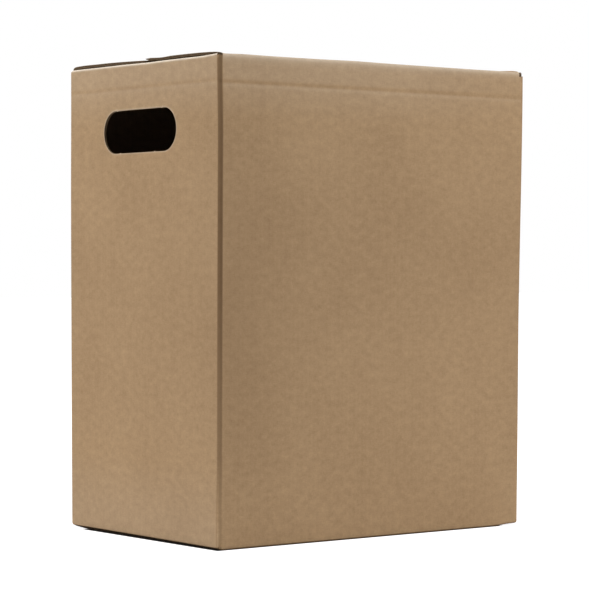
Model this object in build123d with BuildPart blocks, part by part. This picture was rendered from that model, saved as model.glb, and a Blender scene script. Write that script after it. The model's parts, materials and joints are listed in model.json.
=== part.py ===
from build123d import *
import os

# Six-bottle shipping box of corrugated board. One folded sheet makes the four walls, the two
# glued bottom layers and the two inner top flaps. The two outer top flaps are the same sheet's
# moving panels, and three slotted sheets inside make the six cells.
# X runs along the long side, Y across it, Z up. The origin is the middle of the underside.

# Outside of the closed box
length = 269.0
width = 183.0
height = 324.6  # up to the folds of the outer top flaps

# The board and its folds
board = 1.6  # thickness of the corrugated board
corner_radius = 2.6  # outside of the four upright folds
fold_radius = 1.3  # outside of the folds between walls and flaps

# The blank's slots between neighbouring flaps
slot_inset = 2.9  # from a wall's outer face to the end of the flap that crosses it
slot_relief = 0.3  # how much further than the fold a slot is cut into the wall

# The outer flaps and the room that they need to move
seam = 1.0  # between the free edges of two outer flaps
layer_gap = 0.3  # between an outer top flap's fold and the inner flap below it
hinge_gap = 0.3  # between wall and moving flap along the mitred fold

# How far the two outer top flaps bow up from flat
front_middle_rise = 2.55
front_edge_rise = 2.3
back_middle_rise = 2.2
back_edge_rise = 0.6

# Hand holes in the short walls
grip_length = 87.0
grip_height = 29.5
grip_drop = 47.2  # from the top of the box to the middle of the hole
grip_offset = 2.6  # from the middle of the wall to the middle of the hole, towards the back

# The shallow score line pressed round the outside
score_drop = 19.0  # from the top of the box
score_width = 2.6
score_depth = 0.3

# The glued lap that closes the sheet, inside the hidden upright corner
lap_width = 32.0
lap_trim = 3.0  # between the lap's ends and the flaps
lap_slope = 8.0  # how much shorter the lap is at its free edge, at each end

# The partition
divider_board = 1.6
divider_height = 245.0
divider_end_gap = 0.5  # between a sheet's end and the wall
cross_gap = 0.25  # each side of a sheet in the slot that takes it
slot_bottom_gap = 0.5  # left between two sheets where their slots meet
divider_corner = 8.0  # bevel of the upper corners
cells_long = 3  # cells along X

# What follows from those sizes
flap_reach = (width - seam) / 2
inner_length = length - 2 * board
inner_width = width - 2 * board
floor_top = 2 * board
inner_flap_top = height - board - layer_gap
inner_flap_under = inner_flap_top - board
slots_low = board + fold_radius + slot_relief
slots_high = inner_flap_top - fold_radius - slot_relief
outer_flap_end = length / 2 - slot_inset
inner_flap_side = width / 2 - slot_inset
grip_middle = height - grip_drop
divider_top = floor_top + divider_height
slots_meet = floor_top + divider_height / 2
cell_pitch = inner_length / cells_long
cross_places = [cell_pitch * (i - (cells_long - 2) / 2) for i in range(cells_long - 1)]
mitre_shift = hinge_gap / 2**0.5


def round_corner(sketch, x, y, radius):
    """Rounds the corner of a sketch that lies nearest to the point."""
    fillet(sketch.vertices().sort_by_distance(Vector(x, y, 0))[0], radius)


def walls_between_slots():
    """The tube of four walls with its round upright folds, between the upper and lower slots."""
    with BuildPart() as tube:
        with BuildSketch(Plane.XY.offset(slots_low)):
            RectangleRounded(length, width, corner_radius)
            RectangleRounded(inner_length, inner_width, corner_radius - board, mode=Mode.SUBTRACT)
        extrude(amount=slots_high - slots_low)
    return tube.part


def short_panels():
    """Each short wall with the inner bottom flap and the inner top flap folded from it."""
    face = -length / 2
    tip = face + flap_reach
    with BuildPart() as panels:
        with BuildSketch(Plane.XZ) as section:
            with BuildLine():
                Polyline(
                    (tip, board),
                    (face, board),
                    (face, inner_flap_top),
                    (tip, inner_flap_top),
                    (tip, inner_flap_under),
                    (face + board, inner_flap_under),
                    (face + board, floor_top),
                    (tip, floor_top),
                    close=True,
                )
            make_face()
            round_corner(section, face, board, fold_radius)
            round_corner(section, face, inner_flap_top, fold_radius)
            mirror(about=Plane.YZ)
        extrude(amount=inner_flap_side, both=True)
    return panels.part


def long_panels():
    """Each long wall with its outer bottom flap. The top is mitred where the moving flap begins."""
    face = -width / 2
    tip = face + flap_reach
    with BuildPart() as panels:
        with BuildSketch(Plane.YZ) as section:
            with BuildLine():
                Polyline(
                    (tip, 0),
                    (face, 0),
                    (face, height),
                    (face + board, height),
                    (face + board, board),
                    (tip, board),
                    close=True,
                )
            make_face()
            round_corner(section, face, 0, fold_radius)
            round_corner(section, face, height, fold_radius)
            with BuildLine():
                Polyline(
                    (face - board, height + board - mitre_shift),
                    (face + 2 * board, height - 2 * board - mitre_shift),
                    (face + 2 * board, height + board),
                    close=True,
                )
            make_face(mode=Mode.SUBTRACT)
            mirror(about=Plane.YZ)
        extrude(amount=outer_flap_end, both=True)
    return panels.part


def glue_lap():
    """The lap inside the corner at +X +Y: it hangs on the short wall and is glued to the long one."""
    root = inner_length / 2
    low = floor_top + lap_trim
    high = inner_flap_under - lap_trim
    with BuildPart() as lap:
        with BuildSketch(Plane.XZ.offset(-(inner_width / 2 - board))):
            with BuildLine():
                Polyline(
                    (root, low),
                    (root, high),
                    (root - lap_width, high - lap_slope),
                    (root - lap_width, low + lap_slope),
                    close=True,
                )
            make_face()
        extrude(amount=-board)
    return lap.part


def score_ring():
    """What the pressed score line takes away: a shallow ring round the outside of the walls."""
    with BuildPart() as ring:
        with BuildSketch(Plane.XY.offset(height - score_drop)):
            RectangleRounded(length, width, corner_radius)
            RectangleRounded(
                length - 2 * score_depth,
                width - 2 * score_depth,
                corner_radius - score_depth,
                mode=Mode.SUBTRACT,
            )
        extrude(amount=score_width / 2, both=True)
    return ring.part


def outer_top_flap(middle_rise, edge_rise):
    """The moving flap on the front wall, bowed up by the two rises, with its mitred hinge end."""
    face = -width / 2
    middle = face + flap_reach / 2
    tip = face + flap_reach
    under = height - board
    with BuildPart() as flap:
        with BuildSketch(Plane.YZ) as section:
            with BuildLine():
                ThreePointArc((face, height), (middle, height + middle_rise), (tip, height + edge_rise))
                Line((tip, height + edge_rise), (tip, under + edge_rise))
                ThreePointArc((tip, under + edge_rise), (middle, under + middle_rise), (face, under))
                Line((face, under), (face, height))
            make_face()
            round_corner(section, face, height, fold_radius)
            with BuildLine():
                Polyline(
                    (face - board, height + board + mitre_shift),
                    (face + 2 * board, height - 2 * board + mitre_shift),
                    (face - board, height - 2 * board),
                    close=True,
                )
            make_face(mode=Mode.SUBTRACT)
        extrude(amount=outer_flap_end, both=True)
    return flap.part


sheet_panels = [walls_between_slots(), short_panels(), long_panels(), glue_lap()]
score = score_ring()
with BuildPart() as box_body:
    add(sheet_panels)
    add(score, mode=Mode.SUBTRACT)
    # The hand hole goes through both short walls
    with BuildSketch(Plane.YZ):
        with Locations((grip_offset, grip_middle)):
            SlotOverall(grip_length, grip_height)
    extrude(amount=length, both=True, mode=Mode.SUBTRACT)
box_body.part.label = "box_body"

flap_as_front = outer_top_flap(front_middle_rise, front_edge_rise)
flap_as_back = outer_top_flap(back_middle_rise, back_edge_rise)
with BuildPart() as front_top_flap:
    add(flap_as_front)
front_top_flap.part.label = "front_top_flap"

with BuildPart() as back_top_flap:
    add(flap_as_back)
    mirror(about=Plane.XZ, mode=Mode.REPLACE)
back_top_flap.part.label = "back_top_flap"

with BuildPart() as long_divider:
    with BuildSketch(Plane.XZ) as long_sheet:
        with Locations((0, floor_top + divider_height / 2)):
            Rectangle(inner_length - 2 * divider_end_gap, divider_height)
        chamfer(long_sheet.vertices().group_by(Axis.Y)[-1], divider_corner)
        for place in cross_places:
            with Locations((place, slots_meet - slot_bottom_gap / 2)):
                Rectangle(
                    divider_board + 2 * cross_gap,
                    divider_height,
                    align=(Align.CENTER, Align.MIN),
                    mode=Mode.SUBTRACT,
                )
    extrude(amount=divider_board / 2, both=True)
long_divider.part.label = "long_divider"


def cross_divider(place):
    """A sheet across the box at one X, slotted from below where it crosses the long divider."""
    with BuildPart() as sheet:
        with BuildSketch(Plane.YZ.offset(place)) as outline:
            with Locations((0, floor_top + divider_height / 2)):
                Rectangle(inner_width - 2 * divider_end_gap, divider_height)
            chamfer(outline.vertices().group_by(Axis.Y)[-1], divider_corner)
            with Locations((0, slots_meet + slot_bottom_gap / 2)):
                Rectangle(
                    divider_board + 2 * cross_gap,
                    divider_height,
                    align=(Align.CENTER, Align.MAX),
                    mode=Mode.SUBTRACT,
                )
        extrude(amount=divider_board / 2, both=True)
    return sheet.part


os.makedirs("parts", exist_ok=True)
export_step(box_body.part, "parts/box_body.step")
export_step(front_top_flap.part, "parts/front_top_flap.step")
export_step(back_top_flap.part, "parts/back_top_flap.step")
export_step(long_divider.part, "parts/long_divider.step")
for number, place in enumerate(cross_places, start=1):
    sheet = cross_divider(place)
    sheet.label = f"cross_divider_{number}"
    export_step(sheet, f"parts/{sheet.label}.step")
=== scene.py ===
import json
import math

import bmesh
import bpy
import numpy as np
from mathutils import Matrix, Vector
from mathutils.geometry import delaunay_2d_cdt


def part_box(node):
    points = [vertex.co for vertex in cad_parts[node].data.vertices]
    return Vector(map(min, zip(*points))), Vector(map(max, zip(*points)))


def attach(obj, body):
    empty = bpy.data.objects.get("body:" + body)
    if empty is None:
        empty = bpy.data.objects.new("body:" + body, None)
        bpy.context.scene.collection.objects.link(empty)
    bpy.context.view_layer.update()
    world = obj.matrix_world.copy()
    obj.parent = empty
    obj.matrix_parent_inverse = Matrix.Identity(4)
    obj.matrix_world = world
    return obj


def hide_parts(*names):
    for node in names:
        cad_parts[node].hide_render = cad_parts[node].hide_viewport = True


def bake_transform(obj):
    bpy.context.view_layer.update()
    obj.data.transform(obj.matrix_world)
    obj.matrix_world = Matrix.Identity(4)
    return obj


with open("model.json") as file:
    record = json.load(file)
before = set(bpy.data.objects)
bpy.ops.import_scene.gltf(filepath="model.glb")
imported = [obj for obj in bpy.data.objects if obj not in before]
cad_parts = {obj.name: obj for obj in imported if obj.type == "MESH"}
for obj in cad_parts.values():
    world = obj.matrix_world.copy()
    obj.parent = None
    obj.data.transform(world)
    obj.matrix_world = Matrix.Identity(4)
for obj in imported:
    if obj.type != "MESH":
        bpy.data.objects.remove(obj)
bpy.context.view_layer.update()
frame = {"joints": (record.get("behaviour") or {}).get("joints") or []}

# A closed shipping box of fluted board. Every sheet is built flat, as its blank is cut, from two
# paper liners with a wavy medium between them, and is then folded along its score lines.
# A place on a flat sheet is (u, v, w): u across the flutes, v along them, w in from the outside.

MM = 0.001
QUARTER = math.pi / 2

# The walls' numbers, in their order along the flat sheet
back_wall, left_wall, front_wall, right_wall = range(4)
short_walls = (left_wall, right_wall)

# The frame's own sizes
body_low, body_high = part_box("box_body")
length = body_high.x - body_low.x
width = body_high.y - body_low.y
hinge_place = {joint["name"]: joint["pos_m"] for joint in frame["joints"]}["front_flap_fold"]
top = hinge_place[2]

# The board
board = 1.6 * MM
liner = 0.26 * MM
medium_paper = 0.16 * MM
flute_pitch = 3.5 * MM
flute_steps = 10
sharp_angle = math.radians(38)  # an edge that turns further is shown sharp

# The folds, slots and flaps
corner_radius = 2.6 * MM
top_radius = 1.4 * MM
bottom_radius = 1.2 * MM
slot_inset = 2.9 * MM
seam = 1.0 * MM
top_step = 0.4 * MM  # from the folds of the outer top flaps down to those of the inner ones
slot_relief = 0.1 * MM
hinge_cut = 7.0 * MM  # how far below the top a long wall's sheet goes over to its flap's
lap_width = 32.0 * MM
lap_trim = 3.0 * MM
lap_slope = 8.0 * MM
raw_edge_gap = 0.6 * MM  # between the back wall's raw edge and the face of the wall beside it
raw_cut = 0.2 * MM  # how far the medium's edge stands back from the liners' at a cut
fold_margin = 0.5 * MM  # between a fold and the first line of points beside it
beside_fold = np.array([0.5, 1.2, 2.0]) * MM  # the lines of points beside an upright fold
hole_rim = 7.0 * MM  # how far the medium is built round a hand hole
flap_reach = (width - seam) / 2
short_top = top - top_step
slots_low = {"long": 0.4 * MM, "short": board}  # where the slots beside the bottom flaps end
slots_high = short_top - slot_relief - 0.8 * top_radius

# The hand hole
grip_length = 88.0 * MM
grip_height = 29.5 * MM
grip_middle = top - 46.7 * MM
grip_offset = 2.6 * MM  # of the hole's middle from the wall's, towards the back
hole_rings = (0.8 * MM, 1.6 * MM, 3.0 * MM)  # the rings of points round it

# The small tags on the hole's edge: their outline, in mm along and into the hole, and their
# places on its upper and its lower edge, in mm from its middle
tag_shape = ((-0.9, 0.0), (-0.5, 0.45), (0.5, 0.45), (0.9, 0.0))
tags_above = (27.0, -27.0)
tags_below = (-23.7, 18.4)
tag_clear = 1.2 * MM  # how near to a tag's middle the edge has no other points

# The score line round the walls
score_height = {"long": top - 19.2 * MM, "short": top - 18.0 * MM}
score_depth = 0.25 * MM
score_spread = 1.7 * MM
score_rows = 4.8 * MM  # how far above and below it the lines of points are close

# How the board departs from flat
front_flap_short = 1.9 * MM  # how much further the front outer flap stops short at its right end
deep_slot = 1.9 * MM  # how much deeper the slot at that corner is cut
swell_height = 0.1 * MM  # of a wall's middle
ripple_height = 0.05 * MM
fold_crush = 0.55  # share of the board's thickness that a score between wall and flap takes away
fold_spread = 1.6 * MM
side_inset = 0.08 * MM  # how far the short walls stand in at every height
left_lean = 0.75 * MM  # how far a wall leans in at the floor
right_lean = 2.4 * MM
right_foot_lean = 0.35 * MM  # the right wall's further lean in its lowest part
front_lean = 2.4 * MM
back_lean = 0.5 * MM
near_corner_in = 1.2 * MM  # how far the front wall's top is drawn in at the near corner
back_top_in = 0.5 * MM  # how far the back wall's top is drawn in
inner_flap_drop = 1.3 * MM  # of an inner top flap beside its fold
inner_flap_slope = 0.5 * MM  # its further drop towards its free edge
hang_middle = -0.24 * MM  # of a short wall's lower fold, at the wall's middle
hang_tilt = 0.37 * MM  # how much higher it is at the back
back_spring = 0.9 * MM  # of the back wall's lower fold off the floor
front_round_up = 1.1 * MM  # of the front wall's lower fold at its right end
side_fold_ear = 0.9 * MM  # of a short wall's top fold at its front corner
side_fold_sag = 0.25 * MM  # in the middle of that fold
foot_reach = 30 * MM  # the height up to which a wall follows its lower fold
ear_spread = 0.45  # how much wider a flap's raised end grows with the distance from its fold

# The paper's tone is above 0 where it is crushed dark or painted dark as shade, and below 0 where
# it is painted paler as light or highlight. A pale part's value is taken from it, and a dark part's
# is added
# The upright folds' tone: crushed paper with painted shade on their rounding, strongest at the near
# corner
corner_tones = ((1, 0.2), (3, 0.8), (5, 0.2), (7, 0.2))  # of each upright fold, by its bend in plan
# A painted highlight beside the upright folds
beside_fold_highlight = 0.75  # of the line beside a fold near the floor, as a share of the fold's tone
# A painted highlight along the top folds
crown_highlight = 0.95  # of the stretched top folds
# Painted light towards the walls' tops
top_painted_light = 0.1  # of the walls towards their tops
# Painted shade at mid height
middle_painted_shade = 0.09  # of the walls at mid height
# Painted light on the short walls towards the floor
side_foot_painted_light = 0.08  # of the short walls towards the floor
# Painted shade on the front wall beside the near corner
near_corner_painted_shade = 0.1  # of the front wall beside the near corner
# How strongly the score line's painted shade and light show on each kind of wall
score_painted_strength = {"long": 1.0, "short": 0.5}
# Painted shade along the score's upper side and painted light along its lower side
score_painted_shade = 0.1  # of the score line's upper side
score_painted_light = 0.05  # of its lower side
# A painted highlight round a hand hole's rim
hole_rim_highlight = 0.3  # of the rim of a hand hole
# Painted highlights along the outer flaps' folds and beside them
flap_fold_highlight = 0.3
beside_flap_fold_highlight = 0.07

# The partition
divider_height = 245.0 * MM
divider_end_gap = 0.5 * MM
divider_corner = 8.0 * MM
cross_gap = 0.25 * MM
slot_bottom_gap = 0.5 * MM
floor_top = 2 * board
cell_pitch = (length - 2 * board) / 3


class Path:
    """A line of straight runs and round bends in a plane, measured by the length along it."""

    def __init__(self, start, heading):
        self.pieces = []
        self.length = 0.0
        self.end = start
        self.heading = heading

    def _add(self, run, curve):
        self.pieces.append((self.length, self.end[0], self.end[1], self.heading, curve))
        self.length += run
        x, y, heading = self.at(np.array([self.length]))
        self.end = (float(x[0]), float(y[0]))
        self.heading = float(heading[0])

    def straight(self, run):
        self._add(run, 0.0)

    def bend(self, radius, angle):
        self._add(radius * abs(angle), math.copysign(1 / radius, angle))

    def at(self, s):
        """The point and heading at each length s, as three arrays."""
        table = np.array(self.pieces)
        piece = np.clip(np.searchsorted(table[:, 0], s, side="right") - 1, 0, len(table) - 1)
        begin, x, y, heading, curve = table[piece].T
        run = s - begin
        turned = heading + curve * run
        round_run = np.where(curve == 0, 1.0, curve)
        arc_x = (np.sin(turned) - np.sin(heading)) / round_run
        arc_y = (np.cos(heading) - np.cos(turned)) / round_run
        x = x + np.where(curve == 0, run * np.cos(heading), arc_x)
        y = y + np.where(curve == 0, run * np.sin(heading), arc_y)
        return x, y, turned


# The box's outline seen from above, anticlockwise from the back wall's raw edge to the lap's end
plan = Path((length / 2 - raw_edge_gap, width / 2), math.pi)
plan.straight(length - raw_edge_gap - corner_radius)
plan.bend(corner_radius, QUARTER)
plan.straight(width - 2 * corner_radius)
plan.bend(corner_radius, QUARTER)
plan.straight(length - 2 * corner_radius)
plan.bend(corner_radius, QUARTER)
plan.straight(width - corner_radius - board - corner_radius)
plan.bend(corner_radius, QUARTER)
plan.straight(lap_width)
left_start, front_start, right_start, lap_start = [plan.pieces[i][0] for i in (2, 4, 6, 8)]


def side_profile(lowest, highest):
    """A wall's section with its flaps: (depth in from the wall's face, height) along the sheet."""
    path = Path((flap_reach, lowest), math.pi)
    path.straight(flap_reach - bottom_radius)
    path.bend(bottom_radius, -QUARTER)
    path.straight(highest - lowest - bottom_radius - top_radius)
    path.bend(top_radius, -QUARTER)
    path.straight(flap_reach - top_radius)
    return path


long_profile = side_profile(0.0, top)
short_profile = side_profile(board, short_top)
# v equals the height on every wall, so each profile's own length is shifted by these
long_shift = bottom_radius - long_profile.pieces[2][0]
short_shift = board + bottom_radius - short_profile.pieces[2][0]


def wall_profile(number):
    """A wall's profile and its shift."""
    return (short_profile, short_shift) if number in short_walls else (long_profile, long_shift)


def smooth(x, low, high):
    """0 below low, 1 above high and an even curve between them."""
    t = np.clip((x - low) / (high - low), 0, 1)
    return t * t * (3 - 2 * t)


def bump(x, middle, reach):
    """1 at the middle, falling to 0 beyond the reach on both sides."""
    return np.exp(-(((x - middle) / reach) ** 2))


def wall_swell(x, y, z):
    """How far a wall stands out from flat at a point of the outline."""
    along_x = np.cos(np.pi * np.clip(x / length, -0.5, 0.5))
    along_y = np.cos(np.pi * np.clip(y / width, -0.5, 0.5))
    on_long = np.abs(y) > width / 2 - corner_radius
    up = np.sin(np.pi * np.clip(z / top, 0, 1))
    # The ripple's waves are about a decimetre long
    ripple = ripple_height * np.sin(x * 61 + y * 47 + z * 23) * np.sin(z * 41 - x * 17 + 1.3)
    score = np.where(on_long, score_height["long"], score_height["short"])
    from_corner = np.where(on_long, length / 2 - np.abs(x), width / 2 - np.abs(y))
    pressed = score_depth * bump(z, score, score_spread) * smooth(from_corner, 0, 12 * MM)
    return (swell_height + ripple) * np.where(on_long, along_x, along_y) * up - pressed


def leaned(points):
    """The points drawn in towards the floor, where the box is narrower, and at two places above."""
    x, y, z = points.T
    low = 1 - np.clip(z / top, 0, 1)
    near_corner = smooth(z, 270 * MM, top) * bump(x, -length / 2, 50 * MM)
    left = side_inset + left_lean * low**2
    right = side_inset + right_lean * smooth(low, 0.03, 0.62)
    right = right + right_foot_lean * smooth(low, 0.8, 1.0)
    front = front_lean * low + near_corner_in * near_corner
    back = back_lean * low + back_top_in * smooth(z, 230 * MM, 310 * MM)
    in_x, in_y = np.where(x < 0, left, right), np.where(y < 0, front, back)
    return np.c_[x * (1 - in_x / (length / 2)), y * (1 - in_y / (width / 2)), z]


def profile_place(profile, s, w):
    """Depth in from the wall's face, height and turn at length s, at w in the crushed board."""
    depth, z, turn = profile.at(s)
    for i, radius in ((1, bottom_radius), (3, top_radius)):
        middle = profile.pieces[i][0] + QUARTER * radius / 2
        w = w * (1 - fold_crush * bump(s, middle, fold_spread))
    return depth + w * np.sin(turn), z - w * np.cos(turn), turn


def ease(depth, reach):
    """0 at a fold, rising to 1 well beyond the reach."""
    return 1 - np.exp(-depth / reach)


def front_rise(depth, from_end):
    """How far the front outer flap bows up, most where the inner flaps push up its ends."""
    bow = 1.45 * MM * ease(depth, 14 * MM) - 0.25 * MM * smooth(depth, 50 * MM, 85 * MM)
    # Its ends dip a little and lift again towards the free edge
    ear = 1.0 * MM * ease(depth, 2.5 * MM) - 0.35 * MM * bump(depth, 71 * MM, 5 * MM)
    ear = ear + 0.3 * MM * bump(depth, 85 * MM, 4 * MM)
    return bow + ear * bump(from_end, 0, ear_spread * depth + 0.8 * MM)


def back_rise(depth, from_end):
    """How far the back outer flap springs up at its fold and falls towards its free edge."""
    bow = 0.9 * MM * ease(depth, 2.5 * MM) + 0.4 * MM * ease(depth, 12 * MM)
    bow = bow - 0.2 * MM * smooth(depth, 15 * MM, 36 * MM)
    fall = 1.1 * MM * np.clip((depth - 40 * MM) / (51 * MM), 0, 2) ** 1.5
    ear = 1.15 * MM * ease(depth, 0.8 * MM)
    return bow - fall + ear * bump(from_end, 0, ear_spread * depth + 2.0 * MM)


def fold_sag(x):
    """How far a long wall's top fold lies below its straight line, in two shallow waves."""
    from_left = x + length / 2
    left_part = 0.3 * smooth(from_left, 8 * MM, 50 * MM) - 0.42 * smooth(from_left, 3 * MM, 22 * MM)
    crest = 0.3 * bump(from_left, 115 * MM, 22 * MM)
    right_part = 0.25 * smooth(from_left, 150 * MM, 260 * MM)
    right_crest = 0.12 * bump(from_left, 245 * MM, 18 * MM)
    return (0.05 + left_part - crest + right_part - right_crest) * MM


class Sheet:
    """Collects the liners and mediums of one piece, and makes one object of them."""

    def __init__(self):
        self.points = []
        self.flat = []
        self.tones = []
        self.faces = []
        self.slots = []
        self.count = 0

    def add(self, points, flat, tones, faces, slot):
        self.points.append(points)
        self.flat.append(flat)
        self.tones.append(tones)
        self.faces.extend([tuple(self.count + i for i in face) for face in faces])
        self.slots.extend([slot] * len(faces))
        self.count += len(points)

    def slab(self, flat_points, triangles, place, w0, w1, tone, slot, rim_slot):
        """A thin solid between depths w0 and w1 over a triangulated part of the flat sheet."""
        n = len(flat_points)
        u, v = flat_points.T
        near = place(u, v, np.full(n, w0))
        far = place(u, v, np.full(n, w1))
        flat = np.concatenate([np.c_[u, v, np.full(n, w0)], np.c_[u, v, np.full(n, w1)]])
        faces = [tuple(t) for t in triangles]
        faces.extend([tuple(n + i for i in reversed(t)) for t in triangles])
        # An edge that only one triangle has is on the rim
        found = {}
        for a, b, c in triangles:
            for edge in ((a, b), (b, c), (c, a)):
                key = tuple(sorted(edge))
                found[key] = None if key in found else edge
        rim = [(b, a, n + a, n + b) for a, b in filter(None, found.values())]
        tones = tone(u, v)
        self.add(np.concatenate([near, far]), flat, np.concatenate([tones, tones]), faces, slot)
        base = self.count - 2 * n
        self.faces.extend([tuple(base + i for i in face) for face in rim])
        self.slots.extend([rim_slot] * len(rim))

    def medium(self, u0, u1, ends, place, share, slot, tone=0.0):
        """The wavy paper between two liners from u0 to u1, with rows at shares from end to end.

        ends are the two v where it ends, or a function that gives them for each u."""
        steps = max(4, round((u1 - u0) / flute_pitch * flute_steps))
        us = np.linspace(u0, u1, steps + 1)
        low, high = ends(us) if callable(ends) else ends
        rows = len(share) - 1
        swing = (board - 2 * liner - medium_paper) / 2
        wave = board / 2 + swing * np.cos(2 * np.pi * us / flute_pitch)
        slope = -swing * 2 * np.pi / flute_pitch * np.sin(2 * np.pi * us / flute_pitch)
        across = medium_paper / 2 / np.sqrt(1 + slope**2)
        grid = []
        for side in (-1, 1):
            shifted_u = np.clip(us - side * across * slope, u0, u1)
            for s in share:
                row = np.full(len(us), low + (high - low) * s)
                grid.append(np.c_[shifted_u, row, wave + side * across])
        flat = np.concatenate(grid)
        columns, layers = steps + 1, rows + 1
        half = columns * layers

        def corner(side, row, column):
            return side * half + row * columns + column

        def across_paper(a, b):
            """The face between the paper's two sides along its edge from a to b."""
            return corner(0, *a), corner(0, *b), corner(1, *b), corner(1, *a)

        faces = []
        for r in range(rows):
            for c in range(steps):
                for side in (0, 1):
                    square = [(r, c), (r, c + 1), (r + 1, c + 1), (r + 1, c)]
                    faces.append(tuple(corner(side, *spot) for spot in square))
            for c in (0, steps):
                faces.append(across_paper((r, c), (r + 1, c)))
        for c in range(steps):
            for r in (0, rows):
                faces.append(across_paper((r, c), (r, c + 1)))
        points = place(*flat.T)
        self.add(points, flat, np.full(len(flat), tone), faces, slot)

    def finish(self, name, materials):
        mesh = bpy.data.meshes.new(name)
        mesh.from_pydata(np.concatenate(self.points).tolist(), [], self.faces)
        sheet = mesh.attributes.new("sheet", "FLOAT_VECTOR", "POINT")
        sheet.data.foreach_set("vector", np.concatenate(self.flat).astype(np.float32).ravel())
        tone = mesh.attributes.new("tone", "FLOAT", "POINT")
        tone.data.foreach_set("value", np.concatenate(self.tones).astype(np.float32))
        mesh.polygons.foreach_set("material_index", self.slots)
        work = bmesh.new()
        work.from_mesh(mesh)
        bmesh.ops.recalc_face_normals(work, faces=work.faces)
        work.to_mesh(mesh)
        work.free()
        for material in materials:
            mesh.materials.append(material)
        mesh.shade_smooth()
        mesh.set_sharp_from_angle(angle=sharp_angle)
        piece = bpy.data.objects.new(name, mesh)
        bpy.context.collection.objects.link(piece)
        return piece


def inside(polygon, points):
    """Whether each point lies in the polygon."""
    x, y = points.T
    found = np.zeros(len(points), bool)
    for (x0, y0), (x1, y1) in zip(polygon, np.roll(polygon, -1, axis=0)):
        if y0 != y1:
            crosses = (y0 > y) != (y1 > y)
            found ^= crosses & (x < (x1 - x0) * (y - y0) / (y1 - y0) + x0)
    return found


def distance(polygon, points):
    """How far each point lies from the polygon's nearest side."""
    nearest = np.full(len(points), np.inf)
    for a, b in zip(polygon, np.roll(polygon, -1, axis=0)):
        along = b - a
        share = np.clip((points - a) @ along / max(along @ along, 1e-18), 0, 1)
        nearest = np.minimum(nearest, np.linalg.norm(points - (a + share[:, None] * along), axis=1))
    return nearest


def divided(polygon, us, vs):
    """The polygon with a further point wherever one of its sides crosses a line of the grid."""
    closest = 0.02 * MM
    points = []
    for a, b in zip(polygon, np.roll(polygon, -1, axis=0)):
        shares = [0.0]
        for axis, lines in ((0, us), (1, vs)):
            if abs(b[axis] - a[axis]) > 1e-9:
                shares.extend((line - a[axis]) / (b[axis] - a[axis]) for line in lines)
        shares = sorted(s for s in shares if 0 <= s < 1 - 1e-6)
        kept = [shares[0]]
        for s in shares[1:]:
            if min(s - kept[-1], 1 - s) * np.linalg.norm(b - a) > closest:
                kept.append(s)
        points.extend(a + (b - a) * s for s in kept)
    return np.array(points)


def triangulated(outline, holes, grid):
    """Points and triangles that fill the outline, less its holes, through the grid's points."""
    margin = 0.25 * MM
    keep = inside(outline, grid) & (distance(outline, grid) > margin)
    for hole in holes:
        keep &= ~inside(hole, grid) & (distance(hole, grid) > margin)
    loops = [outline, *holes]
    points = np.concatenate([*loops, grid[keep]])
    edges = []
    begin = 0
    for loop in loops:
        n = len(loop)
        edges.extend((begin + i, begin + (i + 1) % n) for i in range(n))
        begin += n
    # The triangulation's tolerance suits lengths in millimetres
    scale = 1000.0
    made = delaunay_2d_cdt([(x * scale, y * scale) for x, y in points], edges, [], 0, 1e-6)
    found = np.array([tuple(v) for v in made[0]]) / scale
    triangles = np.array([f for f in made[2] if len(f) == 3])
    centres = found[triangles].mean(axis=1)
    good = inside(outline, centres)
    for hole in holes:
        good &= ~inside(hole, centres)
    return found, triangles[good].tolist()


def hand_hole(middle, out=0.0, tagged=True):
    """The outline of the hole whose middle is at u = middle: a rounded slot, moved out evenly.

    It has the tags that its cutting rule leaves, unless tagged is false."""
    end_steps, edge_steps = 28, 24
    radius = grip_height / 2 + out
    reach = (grip_length - grip_height) / 2
    points = []
    for side, begin, tags in ((1, -QUARTER, tags_above), (-1, QUARTER, tags_below)):
        for i in range(end_steps + 1):
            angle = begin + math.pi * i / end_steps
            points.append((side * reach + radius * math.cos(angle), radius * math.sin(angle)))
        # How far the straight edge stands into the hole at each of its points
        edge = {side * reach * (1 - 2 * i / edge_steps): 0.0 for i in range(1, edge_steps)}
        if tagged:
            edge = {u: 0.0 for u in edge if min(abs(u - tag * MM) for tag in tags) >= tag_clear}
            for tag in tags:
                edge.update({(tag + shift) * MM: rise * MM for shift, rise in tag_shape})
        points.extend((u, side * (radius - edge[u])) for u in sorted(edge, reverse=side > 0))
    return np.array(points) + (middle, grip_middle)


def strip_of(u):
    """The number of the wall that each u belongs to, or 4 for the glued lap."""
    bends = [left_start, front_start, right_start, lap_start]
    return np.searchsorted(np.array(bends) - corner_radius, u, side="right")


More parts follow.
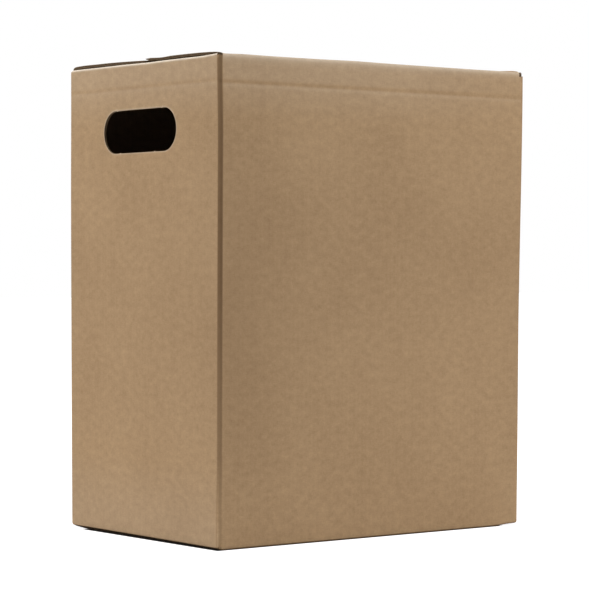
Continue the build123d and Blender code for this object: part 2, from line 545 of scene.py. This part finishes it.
def fold_place(u, v, w):
    """Where a point of the flat sheet is once the box is folded."""
    strip = strip_of(u)
    on_short = np.isin(strip, short_walls)
    on_lap = u > lap_start
    on_long = ~on_short & ~on_lap
    x, y, heading = plan.at(u)
    out_x, out_y = np.sin(heading), -np.cos(heading)
    long_place = profile_place(long_profile, v - long_shift, w)
    short_place = profile_place(short_profile, v - short_shift, w)
    depth, z, turn = [np.where(on_short, a, b) for a, b in zip(short_place, long_place)]
    depth, z, turn = [np.where(on_lap, a, b) for a, b in zip((w, v, QUARTER), (depth, z, turn))]
    # The walls swell, and the flaps don't
    swell = wall_swell(x, y, z) * smooth(turn, 0.2, 1.2) * smooth(np.pi - turn, 0.2, 1.2)
    # The inner top flaps fall away from their folds
    fall = inner_flap_drop * smooth(depth, 0.5 * MM, 5 * MM)
    fall = fall + inner_flap_slope * (depth / flap_reach) ** 2
    # A short wall's lower fold hangs over the raw edges, lower at the front than at the back
    hang = hang_middle + hang_tilt * y / (width / 2)
    hang = hang * (1 - smooth(depth, 0.6 * MM, 2.9 * MM)) * (1 - smooth(z, 2 * MM, foot_reach))
    # The back wall's lower fold stands a little off the floor
    foot = 1 - smooth(z, 0, foot_reach)
    spring = back_spring * foot * (1 - smooth(depth, 1 * MM, 14 * MM))
    # The front wall's lower fold rounds up at its right end
    right_end = smooth(x, length / 2 - 24 * MM, length / 2 - 6 * MM)
    round_up = front_round_up * foot * right_end * (1 - smooth(depth, 2 * MM, 18 * MM))
    z = z + np.where(on_short, np.where(z > top / 2, -fall, hang), 0.0)
    z = z + np.where(on_long, np.where(y > 0, spring, round_up), 0.0)
    depth = np.where(on_lap, depth, depth - swell)
    x, y = x - out_x * depth, y - out_y * depth
    # The short walls' top folds stand higher at the front corners and sag in the middle
    edge = bump(length / 2, np.abs(x), 4 * MM) * smooth(z, top - 16 * MM, short_top - 1 * MM)
    ear = side_fold_ear * bump(y, -width / 2, 11 * MM)
    z = z + (ear - side_fold_sag * bump(y, -4 * MM, 16 * MM)) * edge
    return leaned(np.c_[x, y, z])


def wall_painted_light(u, v):
    """How much paler a wall is painted, as painted light: more towards its top, and less at mid
    height, where painted shade darkens it.
    """
    beside_right = bump(u, right_start, 85 * MM)
    high = smooth(v, top - 50 * MM, top - 6 * MM) * (1 - 0.7 * beside_right)
    return top_painted_light * high - middle_painted_shade * bump(v, 170 * MM, 75 * MM)


def fold_tone(u, v):
    """The tone of the box's outer paper at a point of the flat sheet."""
    tone = np.zeros(len(u))
    arc = QUARTER * corner_radius
    high = 0.55 * smooth(v, 8 * MM, 70 * MM) + 0.45 * smooth(v, 60 * MM, 210 * MM)
    near_floor = 1 - smooth(v, 15 * MM, 60 * MM)
    for i, crush_and_shade in corner_tones:
        begin, end = plan.pieces[i][0], plan.pieces[i + 1][0]
        # t runs across the corner from the short wall's side. A dark line lies there, narrower
        # near the floor, and higher up the whole corner is dark: crushed paper with painted shade.
        t = (u - begin if i in (3, 7) else end - u) + 0.8 * MM * near_floor
        wide = (1.9 - 0.7 * near_floor) * MM
        line = smooth(t, -0.2 * MM, 0.3 * MM) * (1 - smooth(t, wide - 0.8 * MM, wide))
        band = smooth(t, -0.2 * MM, 0.3 * MM) * (1 - smooth(t, arc - 0.5 * MM, arc + 0.3 * MM))
        tone = np.maximum(tone, crush_and_shade * np.maximum(line * (0.3 + 0.8 * high), band * high))
        # A painted highlight on the line beside the fold near the floor
        tone = tone - beside_fold_highlight * crush_and_shade * bump(t, -1.1 * MM, 0.6 * MM) * near_floor
    on_short = np.isin(strip_of(u), short_walls)
    # A painted highlight along the top folds' crowns
    crown = np.where(on_short, short_top, top) - top_radius + 1.0 * MM
    # Painted light on the walls towards their tops, and painted shade at mid height
    tone = tone - crown_highlight * bump(v, crown, 0.85 * MM) - wall_painted_light(u, v)
    # Painted light on the short walls towards the floor
    tone = tone - side_foot_painted_light * np.where(on_short, 1 - smooth(v, 0, 70 * MM), 0.0)
    # Painted shade on the front wall beside the near corner
    beside_corner = bump(u, front_start, 45 * MM) * (u > front_start)
    half_way_up = smooth(v, 20 * MM, 80 * MM) * (1 - smooth(v, 200 * MM, 290 * MM))
    tone = tone + near_corner_painted_shade * beside_corner * half_way_up
    # The score line has painted shade along its upper side and painted light along its lower one
    score = np.where(on_short, score_height["short"], score_height["long"])
    painted_score = np.where(on_short, score_painted_strength["short"], score_painted_strength["long"])
    tone = tone + painted_score * score_painted_shade * bump(v, score + 1.3 * MM, 1.3 * MM)
    tone = tone - painted_score * score_painted_light * bump(v, score - 1.1 * MM, 1.3 * MM)
    # Painted shade: the underside is darkened fully, where the box meets the floor
    under = np.where(on_short, board + 0.5 * MM, 1.2 * MM)
    painted_underside_shade = 1 - smooth(v, under - 0.6 * MM, under)
    tone = tone * (1 - painted_underside_shade) + painted_underside_shade
    flat = np.c_[u, v]
    # A painted highlight round each hand hole's rim
    for hole in hand_holes:
        tone = tone - hole_rim_highlight * bump(distance(hole, flat), 0, 0.7 * MM)
    return tone


def inside_tone(tone):
    """The tone for the inner liner, which shows the crushed folds and the painted shade but not the
    painted light.
    """
    return lambda u, v: np.maximum(tone(u, v), 0)


def spread(low, high, step):
    """Even lines from low to high, no further apart than step."""
    return np.linspace(low, high, max(2, math.ceil((high - low) / step) + 1))


def arc_lines(low, high):
    """The lines of points across a fold."""
    return np.linspace(low, high, 8)


wall_rows = np.concatenate([
    [board + bottom_radius, board + bottom_radius + fold_margin],
    spread(6 * MM, score_height["long"] - 7 * MM, 12 * MM),
    spread(score_height["long"] - score_rows, score_height["short"] + score_rows, 0.6 * MM),
    spread(score_height["short"] + 7 * MM, slots_high, 3 * MM),
])


def flap_rows(profile, shift):
    """The lines across a wall's flaps and their folds, below and above the wall."""
    bottom_fold, wall, top_fold, flap = [profile.pieces[i][0] + shift for i in (1, 2, 3, 4)]
    low = [*spread(shift, bottom_fold - fold_margin, 15 * MM), *arc_lines(bottom_fold, wall)]
    near_fold = [top_fold - 3 * fold_margin, top_fold - fold_margin]
    beyond = spread(flap + fold_margin, profile.length + shift, 10 * MM)
    return np.array(low), np.array([*near_fold, *arc_lines(top_fold, flap), *beyond])


def wall_run(number):
    """A wall's straight run along the flat sheet, and where its flaps begin and end."""
    begin, end = plan.pieces[2 * number][0], plan.pieces[2 * number + 1][0]
    inset = slot_inset - corner_radius
    begin_inset = slot_inset - raw_edge_gap if number == back_wall else inset
    return begin, end, begin + begin_inset, end - inset


def top_span(number):
    """Where a wall's top flap begins and ends."""
    _, _, begin, end = wall_runs[number]
    return begin, end - (front_flap_short if number == front_wall else 0.0)


wall_runs = [wall_run(number) for number in range(4)]
hole_middles = (
    left_start + width / 2 - corner_radius - grip_offset,
    right_start + width / 2 - corner_radius + grip_offset,
)
hand_holes = [hand_hole(middle) for middle in hole_middles]


def blank_outline():
    """The flat sheet's outline, anticlockwise, without the two outer top flaps."""
    low, high = [], []
    for number, (_, _, flap0, flap1) in enumerate(wall_runs):
        short_side = number in short_walls
        profile, shift = wall_profile(number)
        crown = profile.length + shift if short_side else top - hinge_cut
        slot = slots_low["short" if short_side else "long"]
        begin, end = top_span(number)
        low.extend([(flap0, slot), (flap0, shift), (flap1, shift), (flap1, slot)])
        slot_before = slots_high - (deep_slot if number == right_wall else 0.0)
        slot_after = slots_high - (deep_slot if number == front_wall else 0.0)
        high.extend([(begin, slot_before), (begin, crown), (end, crown), (end, slot_after)])
    lap_low = floor_top + lap_trim
    lap_high = short_top - board - lap_trim
    lap_end = plan.length
    slot = slots_low["short"]
    low = [(0.0, slots_low["long"]), *low, (lap_start, slot), (lap_start, lap_low)]
    high = [(0.0, slots_high), *high, (lap_start, slots_high), (lap_start, lap_high)]
    lap = [(lap_end, lap_low + lap_slope), (lap_end, lap_high - lap_slope)]
    return np.array([*low, *lap, *reversed(high)])


def blank_grid():
    """Points over the flat sheet: rows and columns, closer together where the sheet bends."""
    grid = []
    columns, rows = [], list(wall_rows)
    for number, (run0, run1, _, _) in enumerate(wall_runs):
        inner = spread(run0 + 8 * MM, run1 - 8 * MM, 9 * MM)
        us = np.array([run0, *(run0 + beside_fold), *inner, *(run1 - beside_fold), run1])
        columns.extend(us)
        low, high = flap_rows(*wall_profile(number))
        own_rows = np.concatenate([low, wall_rows, high if number in short_walls else []])
        rows.extend(own_rows)
        grid.append(np.stack(np.meshgrid(us, own_rows), -1).reshape(-1, 2))
    for i in (1, 3, 5, 7):
        us = arc_lines(plan.pieces[i][0], plan.pieces[i + 1][0])
        columns.extend(us)
        grid.append(np.stack(np.meshgrid(us[1:-1], wall_rows), -1).reshape(-1, 2))
    us = np.array([lap_start + fold_margin, *spread(lap_start + 8 * MM, plan.length, 12 * MM)])
    columns.extend(us)
    grid.append(np.stack(np.meshgrid(us, wall_rows), -1).reshape(-1, 2))
    # Rings of points round each hand hole keep the painted highlight on its rim narrow
    for middle in hole_middles:
        grid.extend(hand_hole(middle, out, tagged=False) for out in hole_rings)
    return [np.unique(np.round(each, 7), axis=0) for each in (np.concatenate(grid), columns, rows)]


# The papers' places in a piece's list of materials
OUTSIDE, INSIDE, CUT, MEDIUM = range(4)


def medium_round_hole(sheet, middle):
    """The medium that shows in a hand hole's cut, above it, below it and at both its ends."""
    radius = grip_height / 2
    end = grip_length / 2 + raw_cut

    def half_height(us):
        beyond = np.clip(np.abs(us - middle) - grip_length / 2 + radius, 0, radius)
        return np.sqrt(radius**2 - beyond**2) + raw_cut

    def above(us):
        return grip_middle + half_height(us), np.full(len(us), grip_middle + radius + hole_rim)

    def below(us):
        return np.full(len(us), grip_middle - radius - hole_rim), grip_middle - half_height(us)

    beside = (grip_middle - radius, grip_middle + radius)
    parts = (
        (middle - end, middle + end, above),
        (middle - end, middle + end, below),
        (middle - end - hole_rim, middle - end, beside),
        (middle + end, middle + end + hole_rim, beside),
    )
    for u0, u1, ends in parts:
        sheet.medium(u0, u1, ends, fold_place, spread(0, 1, 0.3), MEDIUM)


def box_sheet():
    """The walls, the bottom flaps, the inner top flaps and the glued lap, folded from one blank."""
    sheet = Sheet()
    grid, columns, rows = blank_grid()
    outline = divided(blank_outline(), columns, rows)
    points, triangles = triangulated(outline, hand_holes, grid)
    inner_tone = inside_tone(fold_tone)
    sheet.slab(points, triangles, fold_place, 0.0, liner, fold_tone, OUTSIDE, CUT)
    sheet.slab(points, triangles, fold_place, board - liner, board, inner_tone, INSIDE, CUT)
    for number, (_, _, flap0, flap1) in enumerate(wall_runs):
        profile, shift = wall_profile(number)
        bottom_fold, top_flap = profile.pieces[1][0] + shift, profile.pieces[4][0] + shift
        low, high = (shift + raw_cut, bottom_fold), (top_flap, profile.length + shift - raw_cut)
        u0, u1 = flap0 + raw_cut, flap1 - raw_cut
        # The bottom flaps' medium is painted dark all over, as painted shade under the box
        sheet.medium(u0, u1, low, fold_place, spread(0, 1, 0.5), MEDIUM, tone=1.0)
        if number in short_walls:
            sheet.medium(u0, u1, high, fold_place, spread(0, 1, 0.15), MEDIUM)
    for middle in hole_middles:
        medium_round_hole(sheet, middle)
    piece = sheet.finish("folded_box_sheet", box_papers)
    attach(piece, "box")
    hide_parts("box_body")


def outer_flap(name, node, wall, rise):
    """The outer top flap of the back or front wall, with the strip of wall below its fold."""
    begin, end = top_span(wall)
    side = 1 if wall == back_wall else -1
    fold, flap = [long_profile.pieces[i][0] + long_shift for i in (3, 4)]
    tip = long_profile.length + long_shift

    def place(u, v, w):
        x = plan.at(u)[0]
        depth, z, turn = profile_place(long_profile, v - long_shift, w)
        depth_outside = long_profile.at(v - long_shift)[0]
        swell = wall_swell(x, np.full(len(x), side * width / 2), z) * smooth(turn, 0.2, 1.2)
        lift = rise(depth_outside, np.maximum(np.minimum(u - begin, end - u), 0))
        lift = lift - fold_sag(x) * smooth(z, top - hinge_cut, top - top_radius)
        return leaned(np.c_[x, side * (width / 2 - depth + swell), z + lift])

    def tone(u, v):
        # Painted highlights along the flap's fold and beside it, and the walls' painted light and
        # shade below it
        painted_light = flap_fold_highlight * bump(v, (fold + flap) / 2, 1.8 * MM)
        painted_light = painted_light + beside_flap_fold_highlight * bump(v, fold, 4 * MM)
        return -painted_light - wall_painted_light(u, v) * (1 - smooth(v, fold, flap))

    edge = 8 * MM
    ends = [*spread(begin, begin + edge, 1 * MM), *spread(end - edge, end, 1 * MM)]
    us = np.unique([*ends, *spread(begin + edge, end - edge, edge)])
    bend_rows = [*spread(top - hinge_cut, fold, 1.2 * MM), *arc_lines(fold, flap)[1:-1]]
    flap_lines = [*spread(flap, flap + 5 * MM, 1 * MM), *spread(flap + 8 * MM, tip, 6 * MM)]
    rows = np.array([*bend_rows, *flap_lines])
    outline = np.array([(begin, rows[0]), (end, rows[0]), (end, tip), (begin, tip)])
    grid = np.stack(np.meshgrid(us, rows), -1).reshape(-1, 2)
    points, triangles = triangulated(divided(outline, us, rows), [], grid)
    sheet = Sheet()
    sheet.slab(points, triangles, place, 0.0, liner, tone, OUTSIDE, CUT)
    sheet.slab(points, triangles, place, board - liner, board, inside_tone(tone), INSIDE, CUT)
    share = (rows - rows[0]) / (tip - rows[0])
    sheet.medium(begin + raw_cut, end - raw_cut, (rows[0], tip - raw_cut), place, share, MEDIUM)
    piece = sheet.finish(name, box_papers)
    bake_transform(piece)
    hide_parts(node)


def divider(node, span, place, slot_places, slots_from_top):
    """A slotted sheet of the partition, span long, stood on the box's floor."""
    half = span / 2
    high = floor_top + divider_height
    meet = floor_top + divider_height / 2
    slot_half = board / 2 + cross_gap
    depth = -slot_bottom_gap / 2 if slots_from_top else slot_bottom_gap / 2
    low_side = [(-half, floor_top)]
    high_side = [(-half, high - divider_corner), (-half + divider_corner, high)]
    for middle in slot_places:
        notch = [(middle - slot_half, meet + depth), (middle + slot_half, meet + depth)]
        if slots_from_top:
            high_side.extend([(notch[0][0], high), *notch, (notch[1][0], high)])
        else:
            low_side.extend([(notch[0][0], floor_top), *notch, (notch[1][0], floor_top)])
    low_side.append((half, floor_top))
    high_side.extend([(half - divider_corner, high), (half, high - divider_corner)])
    outline = np.array([*low_side, *reversed(high_side)])
    us, rows = spread(-half, half, 20 * MM), spread(floor_top, high, 20 * MM)
    grid = np.stack(np.meshgrid(us, rows), -1).reshape(-1, 2)
    points, triangles = triangulated(divided(outline, us, rows), [], grid)
    sheet = Sheet()

    def no_tone(u, v):
        return np.zeros(len(u))

    sheet.slab(points, triangles, place, 0.0, liner, no_tone, OUTSIDE, CUT)
    sheet.slab(points, triangles, place, board - liner, board, no_tone, OUTSIDE, CUT)

    def ends(columns):
        corner = np.clip(divider_corner - (half - np.abs(columns)), 0, divider_corner)
        low, up = np.full(len(columns), floor_top), high - corner
        for middle in slot_places:
            in_slot = np.abs(columns - middle) < slot_half
            if slots_from_top:
                up = np.where(in_slot, meet + depth, up)
            else:
                low = np.where(in_slot, meet + depth, low)
        return low + raw_cut / 2, up - raw_cut

    stops = [-half + raw_cut]
    for middle in slot_places:
        stops.extend([middle - slot_half - raw_cut / 2, middle + slot_half + raw_cut / 2])
    stops.append(half - raw_cut)
    for u0, u1 in zip(stops[::2], stops[1::2]):
        sheet.medium(u0, u1, ends, place, spread(0, 1, 0.25), MEDIUM)
    piece = sheet.finish(f"{node}_board", divider_papers)
    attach(piece, "box")
    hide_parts(node)


def srgb(red, green, blue):
    """A colour given as 0 to 255 in sRGB, as the linear numbers that a shader takes."""
    return (*[((c / 255 + 0.055) / 1.055) ** 2.4 for c in (red, green, blue)], 1.0)


def grey(level):
    return (level, level, level, 1.0)


# The dark colour for crushed paper, for painted shade and for specks
crushed_shaded_speck_kraft = srgb(116, 88, 60)
# The pale colour that paints light and highlights
painted_light_kraft = srgb(246, 232, 212)
# The near black that paints shade on cut edges and on the medium under the box
painted_shade_brown = srgb(40, 30, 21)


class Shading:
    """Makes one material, or the world's shading, from its nodes."""

    def __init__(self, owner):
        self.material = bpy.data.materials.new(owner) if isinstance(owner, str) else owner
        self.material.use_nodes = True
        self.tree = self.material.node_tree
        self.tree.nodes.clear()

    def node(self, kind, inputs=None, **settings):
        node = self.tree.nodes.new(kind)
        for name, value in settings.items():
            setattr(node, name, value)
        for name, value in (inputs or {}).items():
            if isinstance(value, bpy.types.NodeSocket):
                self.tree.links.new(value, node.inputs[name])
            else:
                node.inputs[name].default_value = value
        return node

    def math(self, operation, a, b=0.0, clamp=False):
        settings = {"operation": operation, "use_clamp": clamp}
        return self.node("ShaderNodeMath", {0: a, 1: b}, **settings).outputs[0]

    def mix(self, share, a, b):
        node = self.node("ShaderNodeMix", data_type="RGBA")
        for socket, value in ((0, share), (6, a), (7, b)):
            if isinstance(value, bpy.types.NodeSocket):
                self.tree.links.new(value, node.inputs[socket])
            else:
                node.inputs[socket].default_value = value
        return node.outputs[2]

    def vector(self, operation, a, b=(0, 0, 0)):
        node = self.node("ShaderNodeVectorMath", {0: a, 1: b}, operation=operation)
        return node.outputs["Value" if operation == "LENGTH" else "Vector"]

    def ramp(self, value, low, high, to_low, to_high):
        levels = {"From Min": low, "From Max": high, "To Min": to_low, "To Max": to_high}
        return self.node("ShaderNodeMapRange", {"Value": value, **levels}).outputs[0]

    def noise(self, place, scale, detail=3.0, roughness=0.55):
        """Noise over the flat sheet; scale is in cells per metre along u, v and w."""
        scaled = self.vector("MULTIPLY", place, scale)
        inputs = {"Vector": scaled, "Scale": 1.0, "Detail": detail, "Roughness": roughness}
        return self.node("ShaderNodeTexNoise", inputs).outputs[0]

    def sheet_place(self):
        return self.node("ShaderNodeAttribute", attribute_name="sheet").outputs["Vector"]

    def tone(self):
        return self.node("ShaderNodeAttribute", attribute_name="tone").outputs["Fac"]

    def seen_by_eye(self):
        """1 for rays from the camera, straight or by way of a reflection, and 0 for the others."""
        rays = self.node("ShaderNodeLightPath").outputs
        seen = self.math("MAXIMUM", rays["Is Camera Ray"], rays["Is Glossy Ray"])
        return self.math("MAXIMUM", seen, rays["Is Transmission Ray"])

    def finish(self, colour, roughness, height, strength, depth):
        relief = {"Strength": strength, "Distance": depth, "Height": height}
        inputs = {
            "Base Color": colour,
            "Roughness": roughness,
            "Specular IOR Level": 0.25,
            "Normal": self.node("ShaderNodeBump", relief).outputs[0],
        }
        shader = self.node("ShaderNodeBsdfPrincipled", inputs)
        self.node("ShaderNodeOutputMaterial", {"Surface": shader.outputs[0]})
        return self.material


def kraft_liner(name, light, dark, ribs):
    """Liner paper with fibres across the flutes, clouds, ribs of that strength, and the tone's
    crushed folds, painted shade and painted light.
    """
    shading = Shading(name)
    place = shading.sheet_place()
    fibres = shading.noise(place, (260, 2100, 0), 4.0, 0.65)
    threads = shading.noise(place, (1500, 420, 0), 3.0, 0.6)
    clouds = shading.noise(place, (150, 210, 0), 3.0)
    drift = shading.noise(place, (16, 12, 0), 2.0)
    u = shading.node("ShaderNodeSeparateXYZ", {0: place}).outputs[0]
    rib = shading.math("SINE", shading.math("MULTIPLY", u, 2 * math.pi / flute_pitch))
    rib = shading.math("MULTIPLY", rib, shading.noise(place, (40, 9, 0), 2.0))
    tone = shading.math("MULTIPLY", rib, ribs)
    for source, weight in ((clouds, 1.15), (fibres, 1.1), (threads, 1.0), (drift, 0.7)):
        part = shading.math("MULTIPLY", shading.math("SUBTRACT", source, 0.5), weight)
        tone = shading.math("ADD", tone, part)
    tone = shading.math("ADD", tone, 0.5, clamp=True)
    colour = shading.mix(tone, dark, light)
    fold = shading.tone()
    uneven = shading.math("ADD", shading.math("MULTIPLY", clouds, 0.3), 0.85)
    # Crushed paper and painted shade where the tone is above 0
    crush_and_painted_shade = shading.math("MULTIPLY", fold, uneven, clamp=True)
    colour = shading.mix(crush_and_painted_shade, colour, crushed_shaded_speck_kraft)
    # Painted light and highlights where the tone is below 0
    painted_light = shading.math("MULTIPLY", shading.math("MULTIPLY", fold, -1.0), uneven, clamp=True)
    colour = shading.mix(painted_light, colour, painted_light_kraft)
    specks = shading.noise(place, (900, 1300, 0), 2.0, 0.5)
    speck = shading.math("MULTIPLY", shading.math("SUBTRACT", specks, 0.72), 5.0, clamp=True)
    colour = shading.mix(speck, colour, crushed_shaded_speck_kraft)
    height = shading.math("MULTIPLY", fibres, 0.6)
    height = shading.math("ADD", height, shading.math("MULTIPLY", rib, 0.5))
    roughness = shading.math("ADD", shading.math("MULTIPLY", clouds, 0.1), 0.78)
    return shading.finish(colour, roughness, height, strength=0.3, depth=0.06 * MM)


def plain_paper(name, light, dark, cells):
    """Paper seen at a cut edge or between the liners, with its grain's cells per metre."""
    shading = Shading(name)
    grain = shading.noise(shading.sheet_place(), cells, 4.0, 0.65)
    # Painted shade where the tone is above 0, with crushed paper at the folds
    shade_and_crush_share = shading.math("MAXIMUM", shading.tone(), 0.0)
    colour = shading.mix(shade_and_crush_share, shading.mix(grain, dark, light), painted_shade_brown)
    return shading.finish(colour, 0.9, grain, strength=0.5, depth=0.1 * MM)


# Each paper's light and dark colour, between which its fibres and clouds lie
box_papers = [
    kraft_liner("kraft_outside", srgb(187, 156, 119), srgb(160, 130, 96), ribs=0.06),
    kraft_liner("kraft_inside", srgb(140, 114, 86), srgb(112, 90, 66), ribs=0.15),
    plain_paper("kraft_cut_edge", srgb(160, 138, 110), srgb(112, 94, 72), (900, 900, 2600)),
    plain_paper("kraft_medium", srgb(146, 124, 98), srgb(100, 84, 64), (700, 1400, 700)),
]
divider_face = kraft_liner("divider_face", srgb(168, 140, 108), srgb(134, 108, 80), ribs=0.15)
divider_papers = [divider_face, *box_papers[1:]]

box_sheet()
outer_flap("front_outer_flap", "front_top_flap", front_wall, front_rise)
outer_flap("back_outer_flap", "back_top_flap", back_wall, back_rise)

inner_length = length - 2 * board - 2 * divider_end_gap
inner_width = width - 2 * board - 2 * divider_end_gap
cross_places = (-cell_pitch / 2, cell_pitch / 2)


def along_box(u, v, w):
    return leaned(np.c_[u, w - board / 2, v])


divider("long_divider", inner_length, along_box, cross_places, slots_from_top=True)
for number, middle in enumerate(cross_places, start=1):

    def across_box(u, v, w, middle=middle):
        return leaned(np.c_[middle + w - board / 2, u, v])

    divider(f"cross_divider_{number}", inner_width, across_box, (0.0,), slots_from_top=False)


surround_light = 0.2
floor_half_side = 9.0
floor_white = 0.85
floor_glow = 0.82
full_glow_reach = (0.4, 1.0)  # the distances between which the glow rises to 1

# A painted contact shadow: the dark patch where the box touches the floor
painted_shadow_grey = 0.02
painted_shadow_middle = (-10.0 * MM, -8.5 * MM, 0.0)
painted_shadow_half = (124.5 * MM, 80.5 * MM, 0.0)
painted_shadow_fade = 2.5 * MM


def pale_floor():
    """A pale floor that keeps the box's shadow, with a painted shadow where it touches the box.

    The camera sees it brighter than the lamps light it, except where it touches the box."""
    mesh = bpy.data.meshes.new("floor")
    turns = ((-1, -1), (1, -1), (1, 1), (-1, 1))
    corners = [(x * floor_half_side, y * floor_half_side, 0) for x, y in turns]
    mesh.from_pydata(corners, [], [(0, 1, 2, 3)])
    floor = bpy.data.objects.new("floor", mesh)
    bpy.context.collection.objects.link(floor)
    shading = Shading("pale_floor")
    place = shading.node("ShaderNodeNewGeometry").outputs["Position"]
    away = shading.vector("LENGTH", place)
    past = shading.vector("ABSOLUTE", shading.vector("SUBTRACT", place, painted_shadow_middle))
    past = shading.vector("SUBTRACT", past, painted_shadow_half)
    past = shading.vector("LENGTH", shading.vector("MAXIMUM", past, (0, 0, 0)))
    glow = shading.ramp(away, *full_glow_reach, floor_glow, 1.0)
    outside_painted_shadow = shading.ramp(past, 0.0, painted_shadow_fade, 0.0, 1.0)
    glow = shading.math("MULTIPLY", glow, outside_painted_shadow)
    strength = shading.math("MULTIPLY", glow, shading.seen_by_eye())
    light = shading.node("ShaderNodeEmission", {"Strength": strength}).outputs[0]
    # The floor is painted near black in the patch where the box touches it, as a contact shadow
    colour = shading.mix(outside_painted_shadow, grey(painted_shadow_grey), grey(floor_white))
    lit = shading.node("ShaderNodeBsdfDiffuse", {"Color": colour}).outputs[0]
    both = shading.node("ShaderNodeAddShader", {0: lit, 1: light}).outputs[0]
    shading.node("ShaderNodeOutputMaterial", {"Surface": both})
    mesh.materials.append(shading.material)


def white_surround():
    """An even surround, white to the camera and dimmer as a light."""
    world = bpy.data.worlds.new("surround")
    bpy.context.scene.world = world
    world.use_nodes = True
    shading = Shading(world)
    strength = shading.ramp(shading.seen_by_eye(), 0.0, 1.0, surround_light, 1.0)
    white = {"Color": grey(1.0), "Strength": strength}
    background = shading.node("ShaderNodeBackground", white).outputs[0]
    shading.node("ShaderNodeOutputWorld", {"Surface": background})


def soft_box(name, place, aim, size, power):
    """A square area lamp at place, turned towards aim."""
    lamp = bpy.data.lights.new(name, "AREA")
    lamp.size = size
    lamp.energy = power
    ob = bpy.data.objects.new(name, lamp)
    ob.location = place
    ob.rotation_mode = "QUATERNION"
    ob.rotation_quaternion = (Vector(place) - Vector(aim)).to_track_quat("Z", "Y")
    bpy.context.collection.objects.link(ob)


pale_floor()
white_surround()
soft_box("top_light", (-0.1, -0.1, 1.7), (0, 0, 0.3), 1.2, 9)
soft_box("front_top_light", (-0.08, -0.5, 1.15), (0.0, -0.09, 0.3), 0.6, 2.4)
soft_box("left_top_light", (-0.6, 0.1, 1.1), (-0.13, 0.0, 0.3), 0.6, 0.6)
soft_box("left_light", (-1.3, 0.5, 0.6), (-0.13, 0.05, 0.17), 0.8, 4.2)
soft_box("left_low_light", (-1.0, 0.35, 0.12), (-0.13, 0.05, 0.05), 0.3, 2.3)
soft_box("right_light", (0.9, -0.8, 0.5), (0.1, -0.09, 0.17), 0.6, 1.2)
soft_box("right_low_light", (0.75, -0.9, 0.1), (0.1, -0.09, 0.1), 0.3, 4.5)


def camera():
    """The photograph's view, fitted to the folds that it shows. Lengths are in millimetres."""
    yaw, pitch, roll = math.radians(37.61), math.radians(0.94), math.radians(0.06)
    away, across, rise = 1586.9, 48.5, 163.9
    focal_pixels, long_side, sensor = 2432.9, 600.0, 36.0
    ahead = math.cos(pitch) * np.array([math.sin(yaw), math.cos(yaw), 0.0])
    look = ahead - (0.0, 0.0, math.sin(pitch))
    level = np.array([math.cos(yaw), -math.sin(yaw), 0.0])
    upright = np.cross(level, look)
    right = math.cos(roll) * level + math.sin(roll) * upright
    up = -math.sin(roll) * level + math.cos(roll) * upright
    corner = np.array([-length / 2, -width / 2, 0.0])
    place = corner + (across * right + rise * up - away * look) * MM
    data = bpy.data.cameras.new("camera")
    data.sensor_width = sensor
    data.lens = focal_pixels / long_side * sensor
    view = bpy.data.objects.new("camera", data)
    turned = Matrix(np.column_stack([right, up, -look]).tolist()).to_4x4()
    turned.translation = place
    view.matrix_world = turned
    bpy.context.collection.objects.link(view)
    bpy.context.scene.camera = view


camera()
bpy.context.scene.view_settings.view_transform = "Standard"
